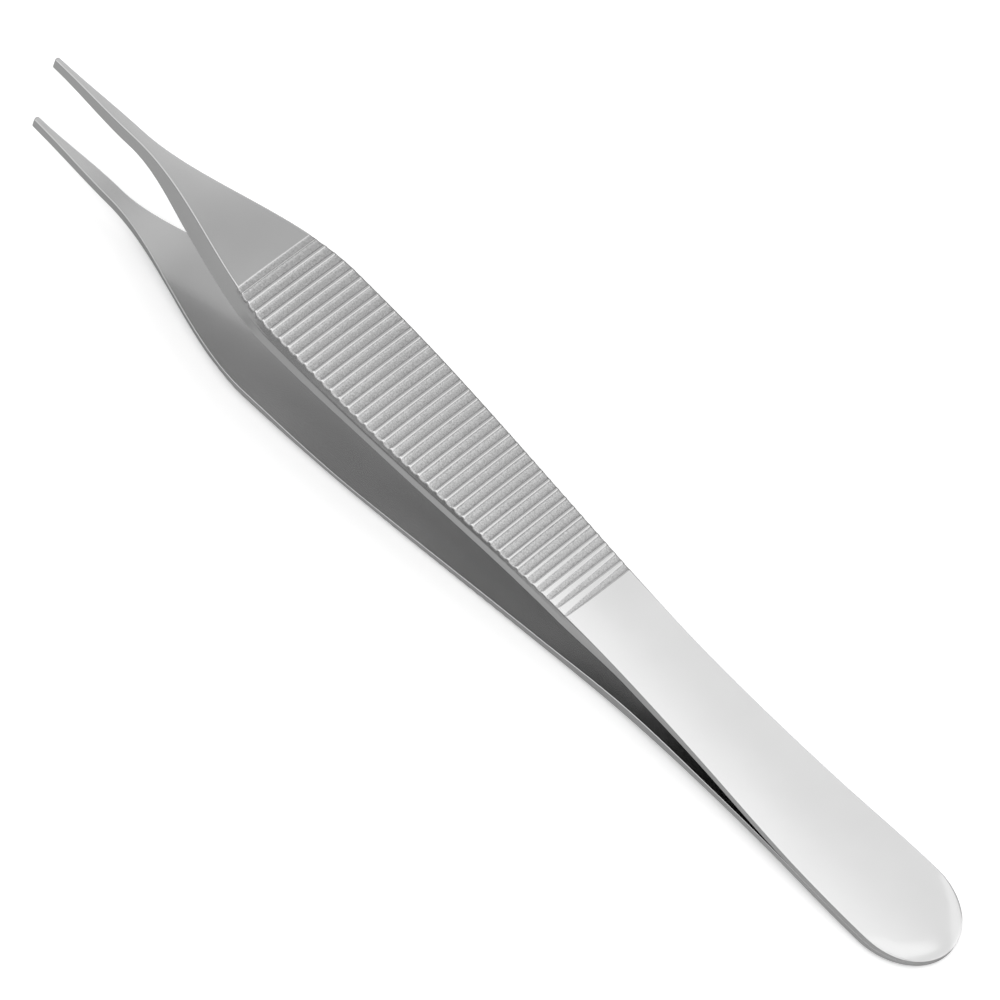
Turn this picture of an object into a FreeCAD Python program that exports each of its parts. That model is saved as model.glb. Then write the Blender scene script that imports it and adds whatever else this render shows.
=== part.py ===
# Thumb forceps: two mirrored stainless steel arms, welded face to face at the heel.
# Millimetres. The arms are drawn with X running from the tips to the heel, Y across the width and
# Z the way the tips open, and are then laid down on the lower arm as they rest on a table.
import FreeCAD, Part
import math
import os

# Stations along the arm, measured from the tips
beak_end = 11.0
crest_at = 22.0
shoulder_end = 35.0
grip_widest_at = 42.0
grip_middle_at = 50.0
grip_back_at = 60.0
grip_end_at = 72.0
waist_at = 82.0
length = 120.0

# The heel, measured from its end
heel_length = 14.0
heel_round_length = 6.3
heel_roll_length = 1.3
heel_roll_drop = 0.35

# Half widths of the outer face
tip_half_width = 0.26
beak_half_width = 0.62
grip_half_width = 5.70
grip_back_half_width = 5.02
waist_half_width = 4.27
taper_half_width = 4.86
heel_half_width = 5.54

# How far the inner face stands out beyond the outer face on each side, and where the side breaks
tip_flare = 0.06
beak_flare = 0.25
shoulder_flare = 0.75
grip_end_flare = 0.34
side_break_share = 0.5
side_break_flare_share = 0.65

# Height of the outer face above the plane between the arms
tip_height = 5.52
beak_height = 5.76
crest_height = 6.13
shoulder_end_height = 5.97
grip_middle_height = 5.11
grip_end_height = 3.43
waist_height = 2.40
taper_height = 1.37

# Thickness of the steel
tip_thickness = 1.18
beak_thickness = 1.35
crest_thickness = 1.85
shoulder_end_thickness = 1.90
grip_middle_thickness = 1.43
grip_end_thickness = 1.30
waist_thickness = 1.05
taper_thickness = 0.79
heel_thickness = 0.75

# Grooves rolled across the outer face of the grip. The last few grow shallow, more so on the left.
groove_start = 30.04
groove_pitch = 1.15
groove_count = 38
groove_radius = 0.70
groove_depth = 0.15
groove_fade_count = 6
last_groove_depth_left = 0.012
last_groove_depth_right = 0.11
lead_in_groove_width = 0.60
lead_in_groove_depth = 0.068

# Rounding of the tip in plan
tip_round = 0.30
tip_round_margin = 0.05

# Drawing
section_spacing = 4.0
heel_side_steps = 4
cutter_margin = 2.0
rest_search_steps = 480

# Where the heel and the taper in front of it begin
heel_start = length - heel_length
heel_round_start = length - heel_round_length
heel_roll_start = length - heel_roll_length
taper_at = (waist_at + heel_start) / 2


def ease(share):
    """Go from 0 to 1 with level ends."""
    return share * share * (3.0 - 2.0 * share)


def eased(stops):
    """A size that is level at each stop (station, size) and eases between them."""
    def size_at(x):
        for (x0, size0), (x1, size1) in zip(stops, stops[1:]):
            if x <= x1:
                share = min(max((x - x0) / (x1 - x0), 0.0), 1.0)
                return size0 + (size1 - size0) * ease(share)
        return stops[-1][1]
    return size_at


def faired(stops):
    """A size that follows one smooth spline through its stops (station, size) and ends level."""
    curve = Part.BSplineCurve()
    points = [FreeCAD.Vector(x, size, 0) for x, size in stops]
    first_slope = (stops[1][1] - stops[0][1]) / (stops[1][0] - stops[0][0])
    curve.interpolate(
        Points=points,
        Parameters=[x for x, size in stops],
        InitialTangent=FreeCAD.Vector(1, first_slope, 0),
        FinalTangent=FreeCAD.Vector(1, 0, 0))
    return lambda x: curve.value(x).y


front_half_width_at = eased([
    (0.0, tip_half_width),
    (beak_end, beak_half_width),
    (shoulder_end, grip_half_width),
])
back_half_width_at = faired([
    (shoulder_end, grip_half_width),
    (grip_widest_at, grip_half_width),
    (grip_back_at, grip_back_half_width),
    (waist_at, waist_half_width),
    ((waist_at + heel_round_start) / 2, taper_half_width),
    (heel_round_start, heel_half_width),
])


def half_width_at(x):
    """Half the width of the outer face."""
    return front_half_width_at(x) if x < shoulder_end else back_half_width_at(x)


flare_at = eased([
    (0.0, tip_flare),
    (beak_end, beak_flare),
    (crest_at, shoulder_flare),
    (shoulder_end, shoulder_flare),
    (grip_end_at, grip_end_flare),
    (waist_at, 0.0),
])
height_at = faired([
    (0.0, tip_height),
    (beak_end, beak_height),
    (crest_at, crest_height),
    (shoulder_end, shoulder_end_height),
    (grip_middle_at, grip_middle_height),
    (grip_end_at, grip_end_height),
    (waist_at, waist_height),
    (taper_at, taper_height),
    (heel_start, heel_thickness),
])
thickness_at = eased([
    (0.0, tip_thickness),
    (beak_end, beak_thickness),
    (crest_at, crest_thickness),
    (shoulder_end, shoulder_end_thickness),
    (grip_middle_at, grip_middle_thickness),
    (grip_end_at, grip_end_thickness),
    (waist_at, waist_thickness),
    (taper_at, taper_thickness),
    (heel_start, heel_thickness),
])


def section(x):
    """The arm's six-sided cross-section: flat outer face, slanted then upright sides, flat inner face."""
    half_width = half_width_at(x)
    flare = flare_at(x)
    top = height_at(x)
    bottom = top - thickness_at(x)
    break_height = top - thickness_at(x) * side_break_share
    break_half_width = half_width + flare * side_break_flare_share
    inner_half_width = half_width + flare
    corners = [
        (-half_width, top),
        (half_width, top),
        (break_half_width, break_height),
        (inner_half_width, bottom),
        (-inner_half_width, bottom),
        (-break_half_width, break_height),
    ]
    points = [FreeCAD.Vector(x, y, z) for y, z in corners]
    return Part.makePolygon(points + points[:1])


def bowed_arm():
    """The arm from its tip to where the heel begins, lofted through evenly spaced sections."""
    count = math.ceil(heel_start / section_spacing)
    stations = [heel_start * i / count for i in range(count + 1)]
    return Part.makeLoft([section(x) for x in stations], True)


def heel_outline():
    """The heel's plan, whose sides run into a half-ellipse at the end."""
    side_length = heel_round_start - heel_start
    stations = [heel_start + side_length * i / heel_side_steps for i in range(heel_side_steps + 1)]
    left_points = [FreeCAD.Vector(x, half_width_at(x), 0) for x in stations]
    right_points = [FreeCAD.Vector(point.x, -point.y, 0) for point in reversed(left_points)]
    left_side = Part.BSplineCurve()
    left_side.interpolate(left_points)
    right_side = Part.BSplineCurve()
    right_side.interpolate(right_points)
    end = Part.makeCircle(heel_half_width, FreeCAD.Vector(0, 0, 0), FreeCAD.Vector(0, 0, 1), -90, 90)
    stretch = FreeCAD.Matrix()
    stretch.scale(heel_round_length / heel_half_width, 1.0, 1.0)
    end = end.transformGeometry(stretch)
    end.translate(FreeCAD.Vector(heel_round_start, 0, 0))
    front = Part.LineSegment(right_points[-1], left_points[0])
    edges = [left_side.toShape(), end.Edges[0], right_side.toShape(), front.toShape()]
    return Part.Wire(Part.__sortEdges__(edges))


def heel_profile(reach):
    """The heel's side view: flat on both faces, with the outer one rolling over at the end."""
    roll_radius = (heel_roll_length ** 2 + heel_roll_drop ** 2) / (2 * heel_roll_drop)
    roll_middle = heel_roll_length / 2
    middle_drop = roll_radius - math.sqrt(roll_radius ** 2 - roll_middle ** 2)
    top_front = FreeCAD.Vector(heel_start - cutter_margin, -reach, heel_thickness)
    roll_start = FreeCAD.Vector(heel_roll_start, -reach, heel_thickness)
    roll_mid = FreeCAD.Vector(heel_roll_start + roll_middle, -reach, heel_thickness - middle_drop)
    roll_end = FreeCAD.Vector(length, -reach, heel_thickness - heel_roll_drop)
    bottom_end = FreeCAD.Vector(length, -reach, 0)
    bottom_front = FreeCAD.Vector(heel_start - cutter_margin, -reach, 0)
    edges = [
        Part.LineSegment(top_front, roll_start).toShape(),
        Part.Arc(roll_start, roll_mid, roll_end).toShape(),
        Part.LineSegment(roll_end, bottom_end).toShape(),
        Part.LineSegment(bottom_end, bottom_front).toShape(),
        Part.LineSegment(bottom_front, top_front).toShape(),
    ]
    return Part.Wire(edges)


def heel():
    """The flat heel, cut to its plan and to its side view."""
    reach = heel_half_width + cutter_margin
    plan = Part.Face(heel_outline()).extrude(FreeCAD.Vector(0, 0, 2 * heel_thickness + cutter_margin))
    plan.translate(FreeCAD.Vector(0, 0, -cutter_margin / 2))
    side_view = Part.Face(heel_profile(reach)).extrude(FreeCAD.Vector(0, 2 * reach, 0))
    return plan.common(side_view)


def round_tip(arm):
    """Round the tip's corners in plan."""
    nose_half_width = tip_half_width + tip_flare + tip_round_margin
    nose = Part.makeCylinder(nose_half_width, 2 * crest_height, FreeCAD.Vector(0, 0, 0))
    squash = FreeCAD.Matrix()
    squash.scale(tip_round / nose_half_width, 1.0, 1.0)
    nose = nose.transformGeometry(squash)
    nose.translate(FreeCAD.Vector(tip_round, 0, 0))
    reach = grip_half_width + shoulder_flare + cutter_margin
    rest_of_arm = Part.makeBox(
        length, 2 * reach, 2 * crest_height, FreeCAD.Vector(tip_round, -reach, 0))
    return arm.common(nose.fuse(rest_of_arm))


def groove_cutter(x, left_depth, right_depth):
    """A round bar laid across the grip at station x, sunk to a depth at each edge of the face."""
    half_width = half_width_at(x)
    left = FreeCAD.Vector(x, -half_width, height_at(x) + groove_radius - left_depth)
    right = FreeCAD.Vector(x, half_width, height_at(x) + groove_radius - right_depth)
    along = (right - left).normalize()
    overrun = shoulder_flare + cutter_margin
    bar_length = left.distanceToPoint(right) + 2 * overrun
    return Part.makeCylinder(groove_radius, bar_length, left - along * overrun, along)


def groove_cutters():
    """The cutters of the even row of grooves and of the narrow one that leads in to it."""
    cutters = []
    for i in range(groove_count):
        fading = i - (groove_count - 1 - groove_fade_count)
        fade = ease(min(max(fading / groove_fade_count, 0.0), 1.0))
        left_depth = groove_depth + (last_groove_depth_left - groove_depth) * fade
        right_depth = groove_depth + (last_groove_depth_right - groove_depth) * fade
        x = groove_start + (i + 0.5) * groove_pitch
        cutters.append(groove_cutter(x, left_depth, right_depth))
    lead_in_at = groove_start - lead_in_groove_width / 2
    cutters.append(groove_cutter(lead_in_at, lead_in_groove_depth, lead_in_groove_depth))
    return cutters


def rest_tilt():
    """The slope, in degrees, of the line on which the arm's belly and heel end both rest."""
    stations = [heel_start * i / rest_search_steps for i in range(rest_search_steps)]
    rises = [math.atan2(height_at(x) - heel_thickness, heel_roll_start - x) for x in stations]
    return math.degrees(max(rises))


def lay_down(arms):
    """Turn the pair onto the lower arm and put the middle of its footprint at the origin."""
    for arm in arms:
        arm.rotate(FreeCAD.Vector(0, 0, 0), FreeCAD.Vector(0, 1, 0), rest_tilt())
    box = Part.makeCompound(arms).optimalBoundingBox(False)
    shift = FreeCAD.Vector(-(box.XMin + box.XMax) / 2, -(box.YMin + box.YMax) / 2, -box.ZMin)
    for arm in arms:
        arm.translate(shift)


upper_arm = round_tip(bowed_arm()).fuse(heel()).cut(groove_cutters())
lower_arm = upper_arm.mirror(FreeCAD.Vector(0, 0, 0), FreeCAD.Vector(0, 0, 1))
lay_down([upper_arm, lower_arm])

os.makedirs("parts", exist_ok=True)
upper_arm.exportStep("parts/upper_arm.step")
lower_arm.exportStep("parts/lower_arm.step")
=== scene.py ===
import math

import bmesh
import bpy
import numpy as np
from mathutils import Matrix, Vector


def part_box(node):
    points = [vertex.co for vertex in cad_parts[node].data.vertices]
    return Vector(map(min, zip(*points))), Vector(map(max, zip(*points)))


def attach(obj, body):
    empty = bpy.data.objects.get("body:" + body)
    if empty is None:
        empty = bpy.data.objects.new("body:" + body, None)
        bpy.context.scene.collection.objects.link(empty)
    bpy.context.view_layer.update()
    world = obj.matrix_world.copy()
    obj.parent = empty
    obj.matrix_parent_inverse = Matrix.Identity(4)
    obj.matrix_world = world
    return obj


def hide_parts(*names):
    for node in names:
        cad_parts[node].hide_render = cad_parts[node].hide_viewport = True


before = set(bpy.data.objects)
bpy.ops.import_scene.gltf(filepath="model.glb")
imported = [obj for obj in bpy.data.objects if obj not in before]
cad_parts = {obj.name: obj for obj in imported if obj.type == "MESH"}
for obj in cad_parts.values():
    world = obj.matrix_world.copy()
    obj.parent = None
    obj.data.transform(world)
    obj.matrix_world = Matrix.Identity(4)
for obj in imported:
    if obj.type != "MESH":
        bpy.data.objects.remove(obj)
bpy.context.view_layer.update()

bl_info = {
    "name": "Thumb forceps",
    "version": (1, 0, 0),
    "blender": (4, 5, 0),
    "location": "View3D > Sidebar > Forceps",
    "description": "Builds the two ribbed arms of a pair of thumb forceps and lights them on a pale floor",
    "category": "Add Mesh",
}

MM = 0.001

# How finely an arm is drawn
TIP_STEPS = 8
PLAIN_SPACING = 0.8
HEEL_END_STEPS = 26
ROUND_STEPS = 4
GUARD_WIDTH = 0.05
FACE_LANES = 14
UPPER_SIDE_LANES = 5
LOWER_SIDE_LANES = 2
INNER_LANES = 4
GROOVE_STOPS = (-1.0, -0.95, -0.88, -0.78, -0.6, -0.35, 0.0, 0.35, 0.6, 0.78, 0.88, 0.95, 1.0)
CREST_STOPS = (0.25, 0.5, 0.75, 1.0, 1.15)
REST_SEARCH_STEPS = 480
MERGE_DISTANCE = 1e-4

# Shares that keep roundings, guard rows and lands clear of each other
ROUND_LIMIT = 0.45
GUARD_LIMIT = 0.2
LAND_MARGIN = 2.2
LAST_GROOVE_MARGIN = 1.2

# How far from a station a rounding or the side's break changes, in millimetres
GRIP_EDGE_LEAD = 2.0
GRIP_EDGE_RUN = 1.0
WAIST_EDGE_LEAD = 4.0
BREAK_LEAD = 0.5
BREAK_RUN = 5.0

# Where a groove is rubbed, how much of the groove's roughness and painted shade the middle of its floor
# gets beside its walls, and where it fades out down the side
RUBBED_FROM = 0.9
FLOOR_MIDDLE_SHARE = 0.75
FADE_START = 0.5
FADE_LENGTH = 0.25

# Pattern of the steel: patches to a metre, and how much its tone wanders
PATCH_SCALE = 180.0
TONE_SPREAD = 0.04
SPECKLE_SPREAD = 0.38

# Each lamp's left, right, front and back side and its height, in metres
PANELS = {
    "right_panel": (-0.001, 0.42, 0.0, 0.40, 0.20),
    "end_panel": (0.20, 0.50, 0.0, 0.45, 0.21),
    "back_panel": (-0.70, 0.70, 0.45, 1.10, 0.50),
    "left_panel": (-0.24, -0.108, 0.0, 0.28, 0.20),
    "front_panel": (-0.70, 0.70, -0.70, -0.03, 0.50),
    "crown_panel": (-0.06, 0.13, 0.0, 0.112, 0.19),
}


def length(name, description, millimetres):
    """A length property that is written in millimetres."""
    return bpy.props.FloatProperty(
        name=name, description=description, default=millimetres * MM, unit="LENGTH", precision=5)


def share(name, description, value):
    """A property between nothing and all."""
    return bpy.props.FloatProperty(
        name=name, description=description, default=value, min=0.0, max=1.0, subtype="FACTOR")


def colour(name, description, grey):
    """A neutral colour property."""
    return bpy.props.FloatVectorProperty(
        name=name, description=description, default=(grey, grey, grey), min=0.0, max=1.0,
        subtype="COLOR")


class ForcepsSizes(bpy.types.PropertyGroup):
    """Sizes of one arm, from its tip to its heel."""
    beak_end: length("Beak end", "Where the slender tip ends and the shoulder begins", 11.0)
    crest_at: length("Crest", "Where the outer face stands highest", 22.0)
    shoulder_end: length("Shoulder end", "Where the shoulder reaches the full width", 35.0)
    grip_widest_at: length("Widest grip", "Where the grip is widest", 42.0)
    grip_middle_at: length("Grip middle", "Station near the middle of the grip", 50.0)
    grip_back_at: length("Grip back", "Station behind the fingers", 60.0)
    grip_end_at: length("Grip end", "Station near the last grooves", 72.0)
    waist_at: length("Waist", "Where the arm is narrowest behind the grip", 82.0)
    length: length("Length", "From the tips to the end of the heel", 120.0)

    heel_length: length("Heel length", "How far the arms lie together at the heel", 14.0)
    heel_round_length: length("Heel round", "Length of the rounded end in plan", 6.3)
    heel_roll_length: length("Heel roll", "How far before its end the outer face rolls over", 1.3)
    heel_roll_drop: length("Heel roll drop", "How far the outer face rolls down", 0.35)

    tip_half_width: length("Tip half width", "Half the outer face at the tip", 0.26)
    beak_half_width: length("Beak half width", "Half the outer face at the beak's end", 0.62)
    grip_half_width: length("Grip half width", "Half the outer face at its widest", 5.70)
    grip_back_half_width: length("Grip back half width", "Half the outer face behind", 5.02)
    waist_half_width: length("Waist half width", "Half the outer face at the waist", 4.27)
    taper_half_width: length("Taper half width", "Half the outer face before the heel", 4.86)
    heel_half_width: length("Heel half width", "Half the outer face at the heel", 5.54)

    tip_flare: length("Tip flare", "How far the inner face stands out at the tip", 0.06)
    beak_flare: length("Beak flare", "How far the inner face stands out at the beak", 0.25)
    shoulder_flare: length("Shoulder flare", "How far the inner face stands out there", 0.75)
    grip_end_flare: length("Grip end flare", "How far the inner face stands out there", 0.34)
    side_break: share("Side break", "Depth of the break in the side", 0.5)
    side_break_flare: share("Side break flare", "Share of the flare above the break", 0.65)
    front_break_flare: share("Front break flare", "The same share on the shoulder", 0.42)

    tip_height: length("Tip height", "Outer face above the middle plane at the tip", 5.52)
    beak_height: length("Beak height", "Outer face above the middle plane there", 5.76)
    crest_height: length("Crest height", "Outer face above the middle plane there", 6.13)
    shoulder_end_height: length("Shoulder height", "Outer face above the middle plane", 5.97)
    grip_middle_height: length("Grip height", "Outer face above the middle plane there", 5.11)
    grip_end_height: length("Grip end height", "Outer face above the middle plane", 3.43)
    waist_height: length("Waist height", "Outer face above the middle plane there", 2.40)
    taper_height: length("Taper height", "Outer face above the middle plane there", 1.37)

    tip_thickness: length("Tip thickness", "Thickness of the steel at the tip", 1.18)
    beak_thickness: length("Beak thickness", "Thickness of the steel at the beak", 1.35)
    crest_thickness: length("Crest thickness", "Thickness of the steel at the crest", 1.85)
    shoulder_end_thickness: length("Shoulder thickness", "Thickness of the steel there", 1.90)
    grip_middle_thickness: length("Grip thickness", "Thickness of the steel there", 1.43)
    grip_end_thickness: length("Grip end thickness", "Thickness of the steel there", 1.30)
    waist_thickness: length("Waist thickness", "Thickness of the steel at the waist", 1.05)
    taper_thickness: length("Taper thickness", "Thickness of the steel there", 0.79)
    heel_thickness: length("Heel thickness", "Thickness of the steel at the heel", 0.75)

    groove_start: length("Groove start", "Where the even row of grooves begins", 30.04)
    groove_pitch: length("Groove pitch", "From one groove to the next", 1.15)
    groove_count: bpy.props.IntProperty(
        name="Grooves", description="Grooves in the even row", default=38, min=2)
    groove_radius: length("Groove radius", "Sets a groove's width from its depth", 0.70)
    groove_depth: length("Groove depth", "Depth of most grooves", 0.15)
    groove_fade_count: bpy.props.IntProperty(
        name="Fading grooves", description="Last grooves that grow shallow", default=6, min=1)
    last_depth_left: length("Last depth left", "Left end of the last groove", 0.012)
    last_depth_right: length("Last depth right", "Right end of the last groove", 0.11)
    lead_in_width: length("Lead-in width", "Width of the narrow first groove", 0.60)
    lead_in_depth: length("Lead-in depth", "Depth of the narrow first groove", 0.068)
    groove_squareness: bpy.props.FloatProperty(
        name="Groove squareness", description="2 is a round floor, more is flatter", default=4.5)
    crest_round: length("Crest round", "Rounding of the edges between groove and land", 0.12)
    crest_share: share("Crest share", "Share of a groove's depth that its rounded edges take", 0.3)

    tip_round: length("Tip round", "Length of the rounding at the tip", 0.30)
    tip_round_margin: length("Tip round margin", "Keeps the tip a little blunt", 0.05)
    tip_soften: length("Tip softening", "How far the tip's end is rounded off", 0.12)
    tip_bulge: length("Tip bulge", "How far the tip's sides swell at their break", 0.07)
    tip_bulge_end: length("Tip bulge end", "Where the tip's sides have grown flat", 16.0)
    crown: bpy.props.FloatProperty(
        name="Crown", description="Slope of the outer face at its edges", default=0.035)
    heel_soften: length("Heel softening", "How far before its end the heel begins to roll", 2.4)
    heel_soften_drop: length("Heel softening drop", "How far the softened heel rolls down", 0.40)
    outer_round: length("Outer edge round", "Rounding of the outer face's edges", 0.11)
    grip_round: length("Grip edge round", "Rounding of the grip's edges", 0.22)
    break_round: length("Side break round", "Rounding of the break in the side", 0.16)
    inner_round: length("Inner edge round", "Rounding of the inner face's edges", 0.12)
    seam_round: length("Seam edge round", "Rounding of the edges that meet at the heel", 0.05)


class ForcepsFinish(bpy.types.PropertyGroup):
    """Finish of the steel."""
    steel: colour("Steel", "Colour of the satin steel", 0.72)
    roughness: share("Roughness", "Roughness of the satin faces", 0.19)
    edge_roughness: share("Edge roughness", "Roughness of the rubbed edges", 0.17)
    roughness_spread: share("Roughness spread", "How much the roughness wanders", 0.04)
    groove_roughness: share("Groove roughness", "Roughness of the milled groove floors", 0.45)
    # The groove shade tone darkens the groove floors: painted shade in the grooves, deepest next to their
    # walls.
    groove_tone: share("Groove tone", "Colour of the groove floors beside the steel's", 0.68)
    # The inner shade tone darkens the inner faces: painted shade between the arms, deepest towards the
    # heel.
    inner_tone: share("Inner tone", "Colour of the unpolished inner faces beside the steel's", 0.76)
    grain_size: length("Grain size", "Size of the satin grain", 0.13)
    grain_depth: length("Grain depth", "Depth of the grain in the grooves", 0.005)


class ForcepsStudio(bpy.types.PropertyGroup):
    """Floor, light and camera."""
    # The floor that the steel sees darkens from the near colour to the far one off to the side and behind
    # a line: painted shade, seen only in the steel's reflections.
    floor_near: colour("Near floor", "Colour of the floor that the steel sees beside it", 0.46)
    floor_far_shade: colour("Far floor", "Colour of the floor that the steel sees far off", 0.12)
    near_reach: length("Near reach", "How far beside the forceps the floor starts to darken", 26.0)
    far_reach: length("Far reach", "How far beside the forceps the floor is darkest", 60.0)
    pale_before: length("Pale before", "The floor isn't darkened in front of this line", -58.0)
    dark_behind: length("Dark behind", "The floor is fully darkened behind this line", -46.0)
    floor_seen: colour("Floor seen", "Colour of the floor as the camera sees it", 1.0)
    floor_glow: share("Floor glow", "Glow that makes the floor white to the camera", 0.34)
    glossy_share: share("Glow in steel", "Share of the floor's glow that the steel shows", 0.14)
    floor_size: length("Floor size", "Half the side of the floor", 3000.0)
    sky: colour("Sky", "Grey light from above", 0.50)
    horizon: colour("Horizon", "Grey light from all round", 0.22)
    right_panel: bpy.props.FloatProperty(
        name="Right panel", description="How white the right panel is in a mirror", default=0.47)
    front_panel: bpy.props.FloatProperty(
        name="Front panel", description="How white the front panel is in a mirror", default=0.75)
    crown_panel: bpy.props.FloatProperty(
        name="Crown panel", description="How white the crown panel is in a mirror", default=0.30)
    end_panel: bpy.props.FloatProperty(
        name="End panel", description="How white the end panel is in a mirror", default=0.22)
    back_panel: bpy.props.FloatProperty(
        name="Back panel", description="How white the back panel is in a mirror", default=0.18)
    left_panel: bpy.props.FloatProperty(
        name="Left panel", description="How white the left panel is in a mirror", default=0.24)
    lens: length("Lens", "Focal length on a 36 mm frame", 234.0)
    camera_at: bpy.props.FloatVectorProperty(
        name="Camera", description="Place of the camera", subtype="TRANSLATION", unit="LENGTH",
        default=(159.57 * MM, -332.20 * MM, 491.64 * MM))
    camera_turn: bpy.props.FloatVectorProperty(
        name="Camera turn", description="Rotation of the camera", subtype="EULER",
        default=(math.radians(35.429), math.radians(-12.344), math.radians(42.256)))


def ease(part):
    """Go from 0 to 1 with level ends."""
    return part * part * (3.0 - 2.0 * part)


def eased(stops):
    """A size that is level at each stop (station, size) and eases between them."""
    def size_at(x):
        for (x0, size0), (x1, size1) in zip(stops, stops[1:]):
            if x <= x1:
                part = min(max((x - x0) / (x1 - x0), 0.0), 1.0)
                return size0 + (size1 - size0) * ease(part)
        return stops[-1][1]
    return size_at


def faired(stops):
    """A size that follows one smooth spline through its stops (station, size) and ends level."""
    stations = np.array([x for x, size in stops])
    sizes = np.array([size for x, size in stops])
    steps = np.diff(stations)
    rises = np.diff(sizes) / steps
    count = len(stops)
    system = np.eye(count)
    wanted = np.zeros(count)
    wanted[0] = rises[0]
    for i in range(1, count - 1):
        system[i, i - 1] = steps[i]
        system[i, i] = 2 * (steps[i - 1] + steps[i])
        system[i, i + 1] = steps[i - 1]
        wanted[i] = 3 * (rises[i - 1] * steps[i] + rises[i] * steps[i - 1])
    slopes = np.linalg.solve(system, wanted)

    def size_at(x):
        i = int(np.clip(np.searchsorted(stations, x) - 1, 0, count - 2))
        part = min(max((x - stations[i]) / steps[i], 0.0), 1.0)
        bend0 = slopes[i] * steps[i] - (sizes[i + 1] - sizes[i])
        bend1 = -slopes[i + 1] * steps[i] + (sizes[i + 1] - sizes[i])
        straight = (1 - part) * sizes[i] + part * sizes[i + 1]
        return straight + part * (1 - part) * ((1 - part) * bend0 + part * bend1)
    return size_at


class ArmForm:
    """The form of one arm in millimetres, as half widths, heights and thicknesses along it."""

    def __init__(self, sizes):
        for name in sizes.bl_rna.properties.keys():
            value = getattr(sizes, name)
            if isinstance(value, float) and name not in RATIOS:
                value = value / MM
            if isinstance(value, (float, int)):
                setattr(self, name, value)
        self.heel_start = self.length - self.heel_length
        self.heel_round_start = self.length - self.heel_round_length
        self.heel_roll_start = self.length - self.heel_roll_length
        self.taper_at = (self.waist_at + self.heel_start) / 2
        self.front_half_width = eased([
            (0.0, self.tip_half_width),
            (self.beak_end, self.beak_half_width),
            (self.shoulder_end, self.grip_half_width),
        ])
        self.back_half_width = faired([
            (self.shoulder_end, self.grip_half_width),
            (self.grip_widest_at, self.grip_half_width),
            (self.grip_back_at, self.grip_back_half_width),
            (self.waist_at, self.waist_half_width),
            ((self.waist_at + self.heel_round_start) / 2, self.taper_half_width),
            (self.heel_round_start, self.heel_half_width),
        ])
        self.flare = eased([
            (0.0, self.tip_flare),
            (self.beak_end, self.beak_flare),
            (self.crest_at, self.shoulder_flare),
            (self.shoulder_end, self.shoulder_flare),
            (self.grip_end_at, self.grip_end_flare),
            (self.waist_at, 0.0),
        ])
        self.bow = faired([
            (0.0, self.tip_height),
            (self.beak_end, self.beak_height),
            (self.crest_at, self.crest_height),
            (self.shoulder_end, self.shoulder_end_height),
            (self.grip_middle_at, self.grip_middle_height),
            (self.grip_end_at, self.grip_end_height),
            (self.waist_at, self.waist_height),
            (self.taper_at, self.taper_height),
            (self.heel_start, self.heel_thickness),
        ])
        self.thickness = eased([
            (0.0, self.tip_thickness),
            (self.beak_end, self.beak_thickness),
            (self.crest_at, self.crest_thickness),
            (self.shoulder_end, self.shoulder_end_thickness),
            (self.grip_middle_at, self.grip_middle_thickness),
            (self.grip_end_at, self.grip_end_thickness),
            (self.waist_at, self.waist_thickness),
            (self.taper_at, self.taper_thickness),
            (self.heel_start, self.heel_thickness),
        ])
        self.inner_rounding = eased([
            (self.waist_at, self.inner_round),
            (self.heel_start, self.seam_round),
        ])
        self.outer_rounding = eased([
            (self.groove_start - GRIP_EDGE_LEAD, self.outer_round),
            (self.groove_start + GRIP_EDGE_RUN, self.grip_round),
            (self.grip_end_at + GRIP_EDGE_RUN, self.grip_round),
            (self.waist_at - WAIST_EDGE_LEAD, self.outer_round),
        ])
        self.break_flare = eased([
            (self.groove_start - BREAK_LEAD, self.front_break_flare),
            (self.groove_start + BREAK_RUN, self.side_break_flare),
        ])
        # Painted shade on the inner faces where the arms face each other: none at the crest, full from the
        # waist to the heel.
        self.dullness = eased([
            (self.crest_at, 0.0),
            (self.waist_at, 1.0),
        ])
        self.bulge = eased([
            (self.beak_end, self.tip_bulge),
            (self.tip_bulge_end, 0.0),
        ])
        self.grooves = self.groove_row()

    def groove_row(self):
        """Each groove as its station and its depths at the left and right edges of the face."""
        lead_in_at = self.groove_start - self.lead_in_width / 2
        row = [(lead_in_at, self.lead_in_depth, self.lead_in_depth)]
        for i in range(self.groove_count):
            fading = i - (self.groove_count - 1 - self.groove_fade_count)
            fade = ease(min(max(fading / self.groove_fade_count, 0.0), 1.0))
            left = self.groove_depth + (self.last_depth_left - self.groove_depth) * fade
            right = self.groove_depth + (self.last_depth_right - self.groove_depth) * fade
            row.append((self.groove_start + (i + 0.5) * self.groove_pitch, left, right))
        return row

    def height(self, x):
        """The outer face above the middle plane."""
        if x <= self.heel_start:
            return self.bow(x)
        return self.heel_thickness

    def heel_roll(self, x, y, z):
        """How far a point of the outer face rolls down round the heel's end, softer than the solid."""
        if x <= self.heel_round_start or z <= self.heel_thickness / 2:
            return 0.0
        along = (x - self.heel_round_start) / self.heel_round_length
        outward = min(math.hypot(along, y / self.heel_half_width), 1.0)
        endward = along / outward
        reach = self.heel_soften * endward
        drop = self.heel_soften_drop * endward
        into_roll = max(reach - (1.0 - outward) * self.heel_round_length, 0.0)
        radius = (reach ** 2 + drop ** 2) / (2 * drop)
        return (radius - math.sqrt(radius ** 2 - into_roll ** 2)) * (2 * z / self.heel_thickness - 1)

    def half_width(self, x):
        """Half the outer face, closing in round curves at the tip and at the heel's end."""
        if x > self.heel_round_start:
            along = min((x - self.heel_round_start) / self.heel_round_length, 1.0)
            return self.heel_half_width * math.sqrt(1.0 - along ** 2)
        if x < self.shoulder_end:
            return self.front_half_width(x)
        return self.back_half_width(x)

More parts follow.
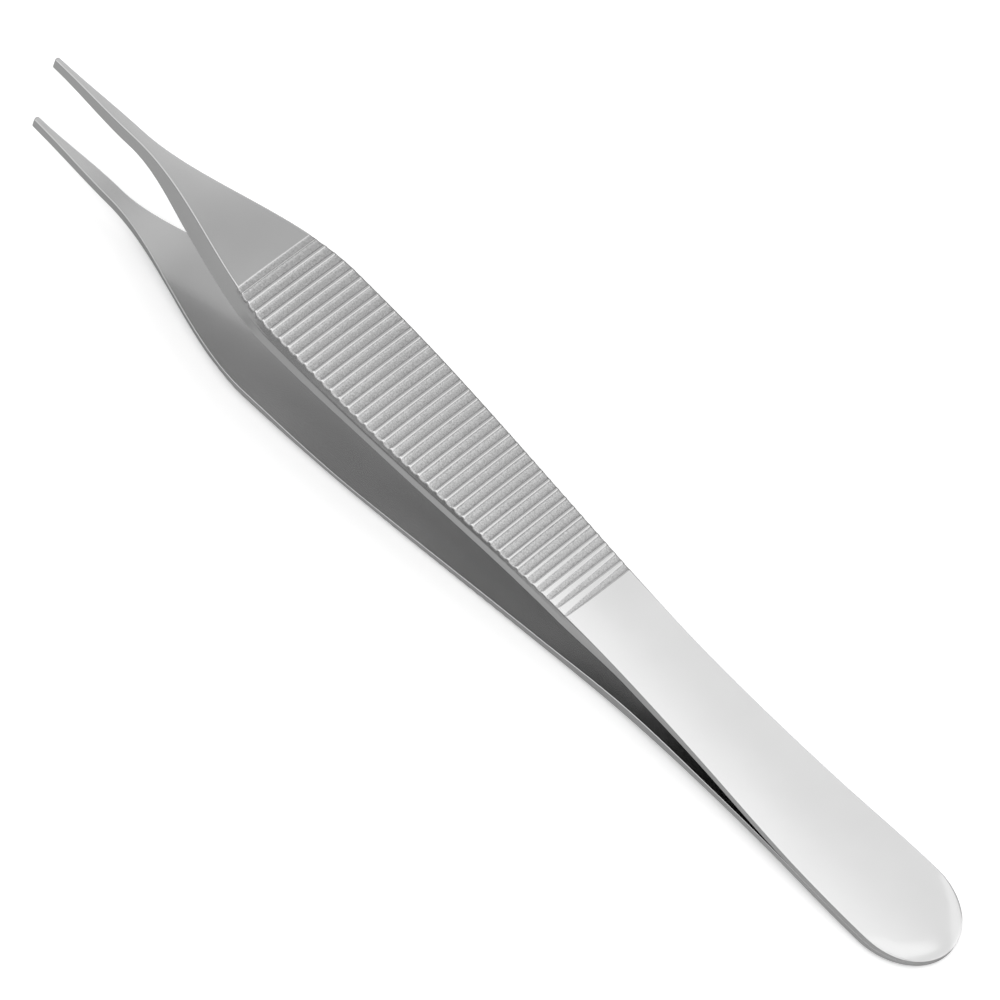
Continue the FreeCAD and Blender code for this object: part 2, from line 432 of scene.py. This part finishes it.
    def tip_closing(self, x):
        """How far the tip's end has opened out, from 0 at its very end to 1."""
        return math.sqrt(1.0 - (1.0 - min(x / self.tip_round, 1.0)) ** 2)

    def corners(self, x):
        """The section's six corners, each with its rounding and the lanes that follow it."""
        half_width = self.half_width(x)
        flare = self.flare(x)
        opened = self.tip_closing(x)
        soften = self.tip_soften * (1.0 - opened)
        top = self.height(x)
        bottom = max(top - self.thickness(x), 0.0) if x < self.heel_start else 0.0
        middle = top - (top - bottom) * self.side_break
        break_half_width = half_width + flare * self.break_flare(x) + self.bulge(x)
        inner_half_width = half_width + flare
        if opened < 1.0:
            nose = (self.tip_half_width + self.tip_flare + self.tip_round_margin) * opened
            half_width = min(half_width, nose)
            break_half_width = min(break_half_width, nose)
            inner_half_width = min(inner_half_width, nose)
        top -= soften
        bottom += soften
        inner_round = self.inner_rounding(x)
        outer_round = self.outer_rounding(x)
        return [
            (Vector((-half_width, top)), outer_round, FACE_LANES),
            (Vector((half_width, top)), outer_round, UPPER_SIDE_LANES),
            (Vector((break_half_width, middle)), self.break_round, LOWER_SIDE_LANES),
            (Vector((inner_half_width, bottom)), inner_round, INNER_LANES),
            (Vector((-inner_half_width, bottom)), inner_round, LOWER_SIDE_LANES),
            (Vector((-break_half_width, middle)), self.break_round, UPPER_SIDE_LANES),
        ]

    def section(self, x):
        """The section at station x as (point, how far it lies on a rounded edge), in order."""
        corners = self.corners(x)
        bends = []
        for i, (corner, rounding, lanes) in enumerate(corners):
            before = corners[i - 1][0]
            after = corners[(i + 1) % len(corners)][0]
            reach_before = min(rounding, ROUND_LIMIT * (before - corner).length)
            reach_after = min(rounding, ROUND_LIMIT * (after - corner).length)
            start = corner + (before - corner).normalized() * reach_before
            end = corner + (after - corner).normalized() * reach_after
            bends.append((start, corner, end, lanes))
        places = []
        for i, (start, corner, end, lanes) in enumerate(bends):
            for step in range(ROUND_STEPS + 1):
                part = step / ROUND_STEPS
                point = start.lerp(corner, part).lerp(corner.lerp(end, part), part)
                places.append((point, 1.0 - abs(2.0 * part - 1.0)))
            next_start = bends[(i + 1) % len(bends)][0]
            side_length = max((next_start - end).length, GUARD_WIDTH)
            guard = min(GUARD_WIDTH / side_length, GUARD_LIMIT / lanes)
            for part in [guard] + [lane / lanes for lane in range(1, lanes)] + [1.0 - guard]:
                places.append((end.lerp(next_start, part), 0.0))
        return places

    def groove_at(self, groove, y):
        """A groove's depth and half width at y across the face."""
        station, left, right = self.grooves[groove]
        half_width = self.half_width(station)
        across = min(max((y + half_width) / (2 * half_width), 0.0), 1.0)
        depth = left + (right - left) * across
        return depth, math.sqrt(2 * self.groove_radius * depth - depth ** 2)

    def crest_reach(self, groove, y):
        """How far the land behind a groove is rounded, so that both of its edges have room."""
        if not 0 <= groove < len(self.grooves) - 1:
            return self.crest_round
        end = self.grooves[groove][0] + self.groove_at(groove, y)[1]
        next_start = self.grooves[groove + 1][0] - self.groove_at(groove + 1, y)[1]
        return min(self.crest_round, (next_start - end) / (LAND_MARGIN * CREST_STOPS[-1]))

    def sunk(self, row, depth):
        """How far a row sinks for its groove, how rubbed it is and how much groove roughness and painted
        shade it gets, most next to the groove's walls.
        """
        kind, place, stop = row
        edge = self.crest_share * depth
        if kind == "groove":
            wall = abs(stop) ** self.groove_squareness
            worn = max((abs(stop) - RUBBED_FROM) / (1.0 - RUBBED_FROM), 0.0)
            # floor darkens the groove's colour as painted shade, strongest next to the walls, and also
            # sets the groove roughness.
            floor = (1.0 - worn) * (FLOOR_MIDDLE_SHARE + (1.0 - FLOOR_MIDDLE_SHARE) * wall)
            return edge + (depth - edge) * (1.0 - wall), worn, floor
        worn = max(1.0 - stop / CREST_STOPS[-1], 0.0)
        return edge * max(1.0 - stop, 0.0) ** 2, worn, 0.0

    def crown_drop(self, x, y, depth):
        """How far the outer face falls towards its edges. depth is how far below it the point lies."""
        half_thickness = self.thickness(min(x, self.heel_start)) / 2
        upper = min(max(1.0 - depth / half_thickness, 0.0), 1.0)
        half_width = max(self.half_width(x), self.tip_half_width)
        return 0.5 * self.crown * y * y / half_width * upper

    def rows(self):
        """The rows of points from tip to heel, as (kind, station or groove, stop)."""
        rows = []
        for step in range(TIP_STEPS):
            turn = math.pi / 2 * step / TIP_STEPS
            rows.append(("plain", self.tip_round * (1.0 - math.cos(turn)), 0.0))
        first = self.grooves[0][0] - self.lead_in_width
        rows += spaced_rows(self.tip_round, first)
        for groove in range(len(self.grooves)):
            rows += [("before", groove, stop) for stop in reversed(CREST_STOPS)]
            rows += [("groove", groove, stop) for stop in GROOVE_STOPS]
            rows += [("after", groove, stop) for stop in CREST_STOPS]
        last = self.grooves[-1][0] + self.groove_radius * LAST_GROOVE_MARGIN
        rows += spaced_rows(last, self.heel_round_start)
        for step in range(HEEL_END_STEPS + 1):
            turn = math.pi / 2 * step / HEEL_END_STEPS
            rows.append(("plain", self.heel_round_start + self.heel_round_length * math.sin(turn), 0.0))
        return rows

    def inner_dullness(self, row, place):
        """How much painted shade a point gets where the arms face each other, which is most on the inner
        face towards the heel.
        """
        first = FACE_LANES + UPPER_SIDE_LANES + LOWER_SIDE_LANES + 3 * (ROUND_STEPS + 2)
        inner = first + 1 < place < first + INNER_LANES + ROUND_STEPS + 2
        return self.dullness(self.row_station(row, 0.0)) if inner else 0.0

    def row_middle(self, row):
        """The station of a row at the middle of the face."""
        return self.row_station(row, 0.0)

    def row_station(self, row, y):
        """The station of a row at y across the face, following its groove's edge."""
        kind, place, stop = row
        if kind == "plain":
            return place
        middle = self.grooves[place][0]
        half = self.groove_at(place, y)[1]
        if kind == "before":
            return middle - half - stop * self.crest_reach(place - 1, y)
        if kind == "after":
            return middle + half + stop * self.crest_reach(place, y)
        return middle + stop * half

    def point(self, row, section, middle_x, place):
        """One point of the arm's skin, how far it lies on an edge and how much groove roughness and
        painted shade it gets.
        """
        flat, edge = section[place]
        floor = 0.0
        x = self.row_station(row, flat.x)
        y = flat.x
        z = flat.y + self.height(x) - self.height(middle_x)
        depth = self.height(x) - z
        z -= self.crown_drop(x, y, depth) + self.heel_roll(x, y, z)
        if row[0] != "plain":
            drop, worn, floor = self.sunk(row, self.groove_at(row[1], y)[0])
            side = self.thickness(x) * self.side_break
            upper = min(max(1.0 - depth / side, 0.0), 1.0)
            z -= drop * upper
            slant = self.flare(x) * self.break_flare(x) / side
            y += y / self.half_width(x) * drop * upper * slant
            on_face = min(max((upper - FADE_START) / FADE_LENGTH, 0.0), 1.0)
            edge = max(edge, worn * on_face)
            floor *= on_face
        return Vector((x, y, z)), edge, floor

    def rest_turn(self):
        """The slope of the line on which the belly and the heel both rest."""
        stations = [self.heel_start * i / REST_SEARCH_STEPS for i in range(REST_SEARCH_STEPS)]
        return max(
            math.atan2(self.height(x) - self.heel_thickness, self.heel_roll_start - x)
            for x in stations)

    def rest_shift(self):
        """How far the turned pair moves to lie on the floor, in line with the frame."""
        turn = self.rest_turn()
        stations = [self.heel_roll_start * i / REST_SEARCH_STEPS for i in range(REST_SEARCH_STEPS + 1)]
        lowest = min(
            -x * math.sin(turn) - self.height(x) * math.cos(turn) for x in stations)
        end_height = self.heel_thickness - self.heel_roll_drop
        furthest = self.length * math.cos(turn) + end_height * math.sin(turn)
        solid_end = max(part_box("upper_arm")[1].x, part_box("lower_arm")[1].x) / MM
        solid_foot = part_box("lower_arm")[0].z / MM
        return Vector((solid_end - furthest, 0.0, solid_foot - lowest))


RATIOS = (
    "side_break", "side_break_flare", "front_break_flare", "groove_squareness", "crest_share",
    "crown")


def spaced_rows(start, end):
    """Evenly spaced plain rows from start up to, but not at, end."""
    count = max(round((end - start) / PLAIN_SPACING), 1)
    return [("plain", start + (end - start) * i / count, 0.0) for i in range(count)]


def build_arm(name, side):
    """Wrap a grid round the arm's sections. side is 1 for the upper arm and -1 for the lower one."""
    form = ArmForm(bpy.context.scene.forceps_sizes)
    rows = form.rows()
    sections = [form.section(form.row_middle(row)) for row in rows]
    place_count = len(sections[0])
    skin = bmesh.new()
    bmesh.ops.create_grid(skin, x_segments=len(rows) - 1, y_segments=place_count, size=1.0)
    edge_layer = skin.verts.layers.float.new("rubbed_edge")
    # This layer carries the groove roughness and the painted shade in the grooves.
    floor_and_shade_layer = skin.verts.layers.float.new("groove_floor")
    # This layer carries the painted shade between the arms.
    inner_shade_layer = skin.verts.layers.float.new("inner_dullness")
    for vert in skin.verts:
        row_index = round((vert.co.x + 1) / 2 * (len(rows) - 1))
        place = round((vert.co.y + 1) / 2 * place_count) % place_count
        row = rows[row_index]
        point, edge, floor = form.point(row, sections[row_index], form.row_middle(row), place)
        vert.co = point
        vert[edge_layer] = edge
        vert[floor_and_shade_layer] = floor
        vert[inner_shade_layer] = form.inner_dullness(row, place)
    bmesh.ops.remove_doubles(skin, verts=skin.verts, dist=MERGE_DISTANCE)
    bmesh.ops.dissolve_degenerate(skin, edges=skin.edges, dist=MERGE_DISTANCE)
    bmesh.ops.scale(skin, verts=skin.verts, vec=(1.0, 1.0, side))
    bmesh.ops.rotate(
        skin, verts=skin.verts, cent=(0, 0, 0), matrix=Matrix.Rotation(form.rest_turn(), 3, "Y"))
    bmesh.ops.translate(skin, verts=skin.verts, vec=form.rest_shift())
    bmesh.ops.scale(skin, verts=skin.verts, vec=(MM, MM, MM))
    bmesh.ops.recalc_face_normals(skin, faces=skin.faces)
    mesh = bpy.data.meshes.new(name)
    skin.to_mesh(mesh)
    skin.free()
    mesh.shade_smooth()
    arm = bpy.data.objects.new(name, mesh)
    bpy.context.scene.collection.objects.link(arm)
    return arm


def add_node(tree, kind, place, **values):
    """Add a node at a place in the tree and set its properties."""
    node = tree.nodes.new(kind)
    node.location = place
    for key, value in values.items():
        setattr(node, key, value)
    return node


def satin_grain_group():
    """Group: fine satin grain, as a wandering roughness and a bump height, and the steel's colour with its
    random tone, painted shade in the grooves and painted shade on the inner faces.
    """
    name = "satin_grain"
    if name in bpy.data.node_groups:
        return bpy.data.node_groups[name]
    group = bpy.data.node_groups.new(name, "ShaderNodeTree")
    sockets = group.interface
    for label, kind in (
            ("Vector", "NodeSocketVector"), ("Grain Scale", "NodeSocketFloat"),
            ("Roughness", "NodeSocketFloat"), ("Edge Roughness", "NodeSocketFloat"),
            ("Spread", "NodeSocketFloat"), ("Edge", "NodeSocketFloat"),
            ("Groove", "NodeSocketFloat"), ("Groove Roughness", "NodeSocketFloat"),
            ("Groove Tone", "NodeSocketFloat"), ("Inner", "NodeSocketFloat"),
            ("Inner Tone", "NodeSocketFloat")):
        sockets.new_socket(name=label, in_out="INPUT", socket_type=kind)
    sockets.new_socket(name="Color", in_out="INPUT", socket_type="NodeSocketColor")
    sockets.new_socket(name="Color", in_out="OUTPUT", socket_type="NodeSocketColor")
    for label in ("Roughness", "Height"):
        sockets.new_socket(name=label, in_out="OUTPUT", socket_type="NodeSocketFloat")
    given = add_node(group, "NodeGroupInput", (-900, 0))
    result = add_node(group, "NodeGroupOutput", (600, 0))
    grain = add_node(group, "ShaderNodeTexNoise", (-600, 200))
    grain.inputs["Detail"].default_value = 2.0
    patches = add_node(group, "ShaderNodeTexNoise", (-600, -150))
    patches.inputs["Scale"].default_value = PATCH_SCALE
    patches.inputs["Detail"].default_value = 3.0
    spread = add_node(group, "ShaderNodeMath", (-350, -150), operation="SUBTRACT")
    spread.inputs[1].default_value = 0.5
    amount = add_node(group, "ShaderNodeMath", (-150, -150), operation="MULTIPLY")
    wander = add_node(group, "ShaderNodeMath", (50, -100), operation="ADD")
    mix = add_node(group, "ShaderNodeMix", (300, -100), data_type="FLOAT")
    tone = add_node(group, "ShaderNodeMapRange", (50, 300))
    tone.inputs["To Min"].default_value = 1.0 - TONE_SPREAD
    tone.inputs["To Max"].default_value = 1.0 + TONE_SPREAD
    speckle = add_node(group, "ShaderNodeMapRange", (-350, 500))
    speckle.inputs["From Min"].default_value = 0.3
    speckle.inputs["From Max"].default_value = 0.7
    speckle.inputs["To Min"].default_value = 1.0 - SPECKLE_SPREAD
    speckle.inputs["To Max"].default_value = 1.0 + SPECKLE_SPREAD
    # Groove floors: painted shade, deepest next to the walls, on the floor's own speckled grain.
    speckled_groove_shade = add_node(group, "ShaderNodeMath", (-100, 500), operation="MULTIPLY")
    tinted = add_node(group, "ShaderNodeVectorMath", (300, 300), operation="SCALE")
    milled = add_node(group, "ShaderNodeMix", (450, -100), data_type="FLOAT")
    groove_shaded = add_node(group, "ShaderNodeMix", (150, 450), data_type="FLOAT")
    groove_shaded.inputs[2].default_value = 1.0
    shaded_tone = add_node(group, "ShaderNodeMath", (300, 450), operation="MULTIPLY")
    # Inner faces: painted shade between the arms, deepest towards the heel.
    shaded = add_node(group, "ShaderNodeMix", (150, 650), data_type="FLOAT")
    shaded.inputs[2].default_value = 1.0
    all_tone = add_node(group, "ShaderNodeMath", (450, 550), operation="MULTIPLY")
    coarse = add_node(group, "ShaderNodeMapRange", (150, 150))
    coarse.inputs["To Min"].default_value = 0.3
    relief = add_node(group, "ShaderNodeMath", (450, 150), operation="MULTIPLY")
    link = group.links.new
    link(given.outputs["Vector"], grain.inputs["Vector"])
    link(given.outputs["Grain Scale"], grain.inputs["Scale"])
    link(given.outputs["Vector"], patches.inputs["Vector"])
    link(patches.outputs["Fac"], spread.inputs[0])
    link(spread.outputs[0], amount.inputs[0])
    link(given.outputs["Spread"], amount.inputs[1])
    link(amount.outputs[0], wander.inputs[0])
    link(given.outputs["Roughness"], wander.inputs[1])
    link(given.outputs["Edge"], mix.inputs["Factor"])
    link(wander.outputs[0], mix.inputs[2])
    link(given.outputs["Edge Roughness"], mix.inputs[3])
    link(given.outputs["Groove"], milled.inputs["Factor"])
    link(mix.outputs[0], milled.inputs[2])
    link(given.outputs["Groove Roughness"], milled.inputs[3])
    link(milled.outputs[0], result.inputs["Roughness"])
    link(given.outputs["Groove"], coarse.inputs["Value"])
    link(grain.outputs["Fac"], relief.inputs[0])
    link(coarse.outputs["Result"], relief.inputs[1])
    link(relief.outputs[0], result.inputs["Height"])
    link(given.outputs["Groove"], groove_shaded.inputs["Factor"])
    link(grain.outputs["Fac"], speckle.inputs["Value"])
    link(speckle.outputs["Result"], speckled_groove_shade.inputs[0])
    link(given.outputs["Groove Tone"], speckled_groove_shade.inputs[1])
    link(speckled_groove_shade.outputs[0], groove_shaded.inputs[3])
    link(groove_shaded.outputs[0], shaded_tone.inputs[0])
    link(tone.outputs["Result"], shaded_tone.inputs[1])
    link(patches.outputs["Fac"], tone.inputs["Value"])
    link(given.outputs["Color"], tinted.inputs[0])
    link(given.outputs["Inner"], shaded.inputs["Factor"])
    link(given.outputs["Inner Tone"], shaded.inputs[3])
    link(shaded_tone.outputs[0], all_tone.inputs[0])
    link(shaded.outputs[0], all_tone.inputs[1])
    link(all_tone.outputs[0], tinted.inputs["Scale"])
    link(tinted.outputs["Vector"], result.inputs["Color"])
    return group


def satin_steel():
    """Material: satin stainless steel with rubbed edges, milled grooves with painted shade in them, and
    painted shade on the inner faces towards the heel.
    """
    name = "satin_steel_finish"
    if name in bpy.data.materials:
        return bpy.data.materials[name]
    finish = bpy.context.scene.forceps_finish
    material = bpy.data.materials.new(name)
    material.use_nodes = True
    tree = material.node_tree
    tree.nodes.clear()
    output = add_node(tree, "ShaderNodeOutputMaterial", (600, 0))
    shader = add_node(tree, "ShaderNodeBsdfPrincipled", (300, 0))
    shader.inputs["Metallic"].default_value = 1.0
    coordinates = add_node(tree, "ShaderNodeTexCoord", (-700, 0))
    edge = add_node(tree, "ShaderNodeAttribute", (-700, -300), attribute_name="rubbed_edge")
    groove = add_node(tree, "ShaderNodeAttribute", (-700, -500), attribute_name="groove_floor")
    inner = add_node(tree, "ShaderNodeAttribute", (-700, -700), attribute_name="inner_dullness")
    grain = add_node(tree, "ShaderNodeGroup", (-350, 0), node_tree=satin_grain_group())
    grain.inputs["Color"].default_value = (*finish.steel, 1.0)
    grain.inputs["Grain Scale"].default_value = 1.0 / finish.grain_size
    grain.inputs["Roughness"].default_value = finish.roughness
    grain.inputs["Edge Roughness"].default_value = finish.edge_roughness
    grain.inputs["Spread"].default_value = finish.roughness_spread
    grain.inputs["Groove Roughness"].default_value = finish.groove_roughness
    grain.inputs["Groove Tone"].default_value = finish.groove_tone
    grain.inputs["Inner Tone"].default_value = finish.inner_tone
    bump = add_node(tree, "ShaderNodeBump", (0, -300))
    bump.inputs["Distance"].default_value = finish.grain_depth
    link = tree.links.new
    link(coordinates.outputs["Object"], grain.inputs["Vector"])
    link(edge.outputs["Fac"], grain.inputs["Edge"])
    link(groove.outputs["Fac"], grain.inputs["Groove"])
    link(inner.outputs["Fac"], grain.inputs["Inner"])
    link(grain.outputs["Color"], shader.inputs["Base Color"])
    link(grain.outputs["Roughness"], shader.inputs["Roughness"])
    link(grain.outputs["Height"], bump.inputs["Height"])
    link(bump.outputs["Normal"], shader.inputs["Normal"])
    link(shader.outputs["BSDF"], output.inputs["Surface"])
    return material


def floor_material(studio):
    """Material: pale matt floor that looks white to the camera and keeps the forceps' shadow; in the
    steel's reflections it shows painted shade, darker off to the side.
    """
    material = bpy.data.materials.new("pale_floor")
    material.use_nodes = True
    tree = material.node_tree
    tree.nodes.clear()
    output = add_node(tree, "ShaderNodeOutputMaterial", (600, 0))
    seen = add_node(tree, "ShaderNodeLightPath", (-900, 0))
    tint = add_node(tree, "ShaderNodeMix", (-300, 200), data_type="RGBA")
    place = add_node(tree, "ShaderNodeTexCoord", (-1300, 400))
    split = add_node(tree, "ShaderNodeSeparateXYZ", (-1100, 400))
    aside = add_node(tree, "ShaderNodeMath", (-900, 400), operation="ABSOLUTE")
    behind = add_node(tree, "ShaderNodeMapRange", (-900, 600), interpolation_type="SMOOTHSTEP")
    behind.inputs["From Min"].default_value = studio.pale_before
    behind.inputs["From Max"].default_value = studio.dark_behind
    dark = add_node(tree, "ShaderNodeMath", (-600, 550), operation="MULTIPLY")
    far = add_node(tree, "ShaderNodeMapRange", (-700, 400), interpolation_type="SMOOTHSTEP")
    far.inputs["From Min"].default_value = studio.near_reach
    far.inputs["From Max"].default_value = studio.far_reach
    # Painted shade on the floor for the steel's reflections: grey near the forceps, dark off to the side
    # and behind a line; the camera sees the floor white.
    shade = add_node(tree, "ShaderNodeMix", (-500, 300), data_type="RGBA")
    shade.inputs[6].default_value = (*studio.floor_near, 1.0)
    shade.inputs[7].default_value = (*studio.floor_far_shade, 1.0)
    tint.inputs[7].default_value = (*studio.floor_seen, 1.0)
    matt = add_node(tree, "ShaderNodeBsdfDiffuse", (0, 100))
    in_steel = add_node(tree, "ShaderNodeMath", (-700, -150), operation="MAXIMUM")
    less = add_node(tree, "ShaderNodeMath", (-500, -150), operation="MULTIPLY")
    less.inputs[1].default_value = studio.glossy_share
    either = add_node(tree, "ShaderNodeMath", (-350, -100), operation="MAXIMUM")
    amount = add_node(tree, "ShaderNodeMath", (-200, -100), operation="MULTIPLY")
    amount.inputs[1].default_value = studio.floor_glow
    glow = add_node(tree, "ShaderNodeEmission", (0, -100))
    both = add_node(tree, "ShaderNodeAddShader", (300, 0))
    link = tree.links.new
    link(place.outputs["Object"], split.inputs[0])
    link(split.outputs["Y"], aside.inputs[0])
    link(aside.outputs[0], far.inputs["Value"])
    link(split.outputs["X"], behind.inputs["Value"])
    link(far.outputs["Result"], dark.inputs[0])
    link(behind.outputs["Result"], dark.inputs[1])
    link(dark.outputs[0], shade.inputs["Factor"])
    link(shade.outputs[2], tint.inputs[6])
    link(seen.outputs["Is Camera Ray"], tint.inputs["Factor"])
    link(tint.outputs[2], matt.inputs["Color"])
    link(seen.outputs["Is Glossy Ray"], in_steel.inputs[0])
    link(seen.outputs["Is Transmission Ray"], in_steel.inputs[1])
    link(in_steel.outputs[0], less.inputs[0])
    link(seen.outputs["Is Camera Ray"], either.inputs[0])
    link(less.outputs[0], either.inputs[1])
    link(either.outputs[0], amount.inputs[0])
    link(amount.outputs[0], glow.inputs["Strength"])
    link(matt.outputs[0], both.inputs[0])
    link(glow.outputs[0], both.inputs[1])
    link(both.outputs[0], output.inputs["Surface"])
    return material


def add_floor(studio):
    """A wide level floor just under the forceps."""
    plane = bmesh.new()
    bmesh.ops.create_grid(plane, x_segments=1, y_segments=1, size=studio.floor_size)
    mesh = bpy.data.meshes.new("floor")
    plane.to_mesh(mesh)
    plane.free()
    mesh.materials.append(floor_material(studio))
    floor = bpy.data.objects.new("floor", mesh)
    bpy.context.scene.collection.objects.link(floor)


def add_panel(name, left, right, front, back, height, whiteness):
    """A soft lamp that faces down, given by its sides. Its whiteness is what a mirror shows of it."""
    lamp = bpy.data.lights.new(name, "AREA")
    lamp.shape = "RECTANGLE"
    lamp.size = right - left
    lamp.size_y = back - front
    lamp.energy = whiteness * math.pi * lamp.size * lamp.size_y
    panel = bpy.data.objects.new(name, lamp)
    panel.location = ((left + right) / 2, (front + back) / 2, height)
    bpy.context.scene.collection.objects.link(panel)


def add_world(studio):
    """Even grey light from above that grows darker towards the horizon."""
    world = bpy.data.worlds.new("studio")
    world.use_nodes = True
    tree = world.node_tree
    background = tree.nodes["Background"]
    direction = add_node(tree, "ShaderNodeTexCoord", (-900, 0))
    split = add_node(tree, "ShaderNodeSeparateXYZ", (-700, 0))
    climb = add_node(tree, "ShaderNodeMapRange", (-500, 0), interpolation_type="SMOOTHSTEP")
    climb.inputs["From Max"].default_value = 0.5
    tone = add_node(tree, "ShaderNodeMix", (-250, 0), data_type="RGBA")
    tone.inputs[6].default_value = (*studio.horizon, 1.0)
    tone.inputs[7].default_value = (*studio.sky, 1.0)
    link = tree.links.new
    link(direction.outputs["Generated"], split.inputs[0])
    link(split.outputs["Z"], climb.inputs["Value"])
    link(climb.outputs["Result"], tone.inputs["Factor"])
    link(tone.outputs[2], background.inputs["Color"])
    bpy.context.scene.world = world


def add_camera(studio):
    """The camera at the photograph's viewing angle."""
    lens = bpy.data.cameras.new("camera")
    lens.lens = studio.lens / MM
    lens.clip_start = 0.01
    lens.clip_end = 20.0
    camera = bpy.data.objects.new("camera", lens)
    camera.location = studio.camera_at
    camera.rotation_euler = studio.camera_turn
    bpy.context.scene.collection.objects.link(camera)
    bpy.context.scene.camera = camera


class FORCEPS_OT_upper_arm(bpy.types.Operator):
    """Build the ribbed arm that lies uppermost"""
    bl_idname = "forceps.upper_arm"
    bl_label = "Upper Arm"
    bl_options = {"REGISTER", "UNDO"}

    def execute(self, context):
        arm = build_arm("upper_arm_satin", 1)
        arm.data.materials.append(satin_steel())
        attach(arm, "root")
        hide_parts("upper_arm")
        return {"FINISHED"}


class FORCEPS_OT_lower_arm(bpy.types.Operator):
    """Build the ribbed arm that the forceps lies on"""
    bl_idname = "forceps.lower_arm"
    bl_label = "Lower Arm"
    bl_options = {"REGISTER", "UNDO"}

    def execute(self, context):
        arm = build_arm("lower_arm_satin", -1)
        arm.data.materials.append(satin_steel())
        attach(arm, "root")
        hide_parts("lower_arm")
        return {"FINISHED"}


class FORCEPS_OT_stage(bpy.types.Operator):
    """Lay the floor, hang the lamps and place the camera"""
    bl_idname = "forceps.stage"
    bl_label = "Stage"
    bl_options = {"REGISTER", "UNDO"}

    def execute(self, context):
        studio = context.scene.forceps_studio
        add_floor(studio)
        add_world(studio)
        for name, sides in PANELS.items():
            add_panel(name, *sides, getattr(studio, name))
        add_camera(studio)
        context.scene.view_settings.view_transform = "Standard"
        return {"FINISHED"}


class FORCEPS_PT_panel(bpy.types.Panel):
    """Lists the forceps' pieces, sizes and finish"""
    bl_label = "Forceps"
    bl_space_type = "VIEW_3D"
    bl_region_type = "UI"
    bl_category = "Forceps"

    def draw(self, context):
        layout = self.layout
        for operator in (FORCEPS_OT_upper_arm, FORCEPS_OT_lower_arm, FORCEPS_OT_stage):
            layout.operator(operator.bl_idname)
        for group in (context.scene.forceps_sizes, context.scene.forceps_finish):
            for name in group.bl_rna.properties.keys():
                if name not in ("rna_type", "name"):
                    layout.prop(group, name)


CLASSES = (
    ForcepsSizes, ForcepsFinish, ForcepsStudio,
    FORCEPS_OT_upper_arm, FORCEPS_OT_lower_arm, FORCEPS_OT_stage, FORCEPS_PT_panel,
)


def register():
    for cls in CLASSES:
        bpy.utils.register_class(cls)
    bpy.types.Scene.forceps_sizes = bpy.props.PointerProperty(type=ForcepsSizes)
    bpy.types.Scene.forceps_finish = bpy.props.PointerProperty(type=ForcepsFinish)
    bpy.types.Scene.forceps_studio = bpy.props.PointerProperty(type=ForcepsStudio)


def unregister():
    del bpy.types.Scene.forceps_studio
    del bpy.types.Scene.forceps_finish
    del bpy.types.Scene.forceps_sizes
    for cls in reversed(CLASSES):
        bpy.utils.unregister_class(cls)


def main():
    register()
    bpy.ops.forceps.upper_arm()
    bpy.ops.forceps.lower_arm()
    bpy.ops.forceps.stage()


if __name__ == "__main__":
    main()
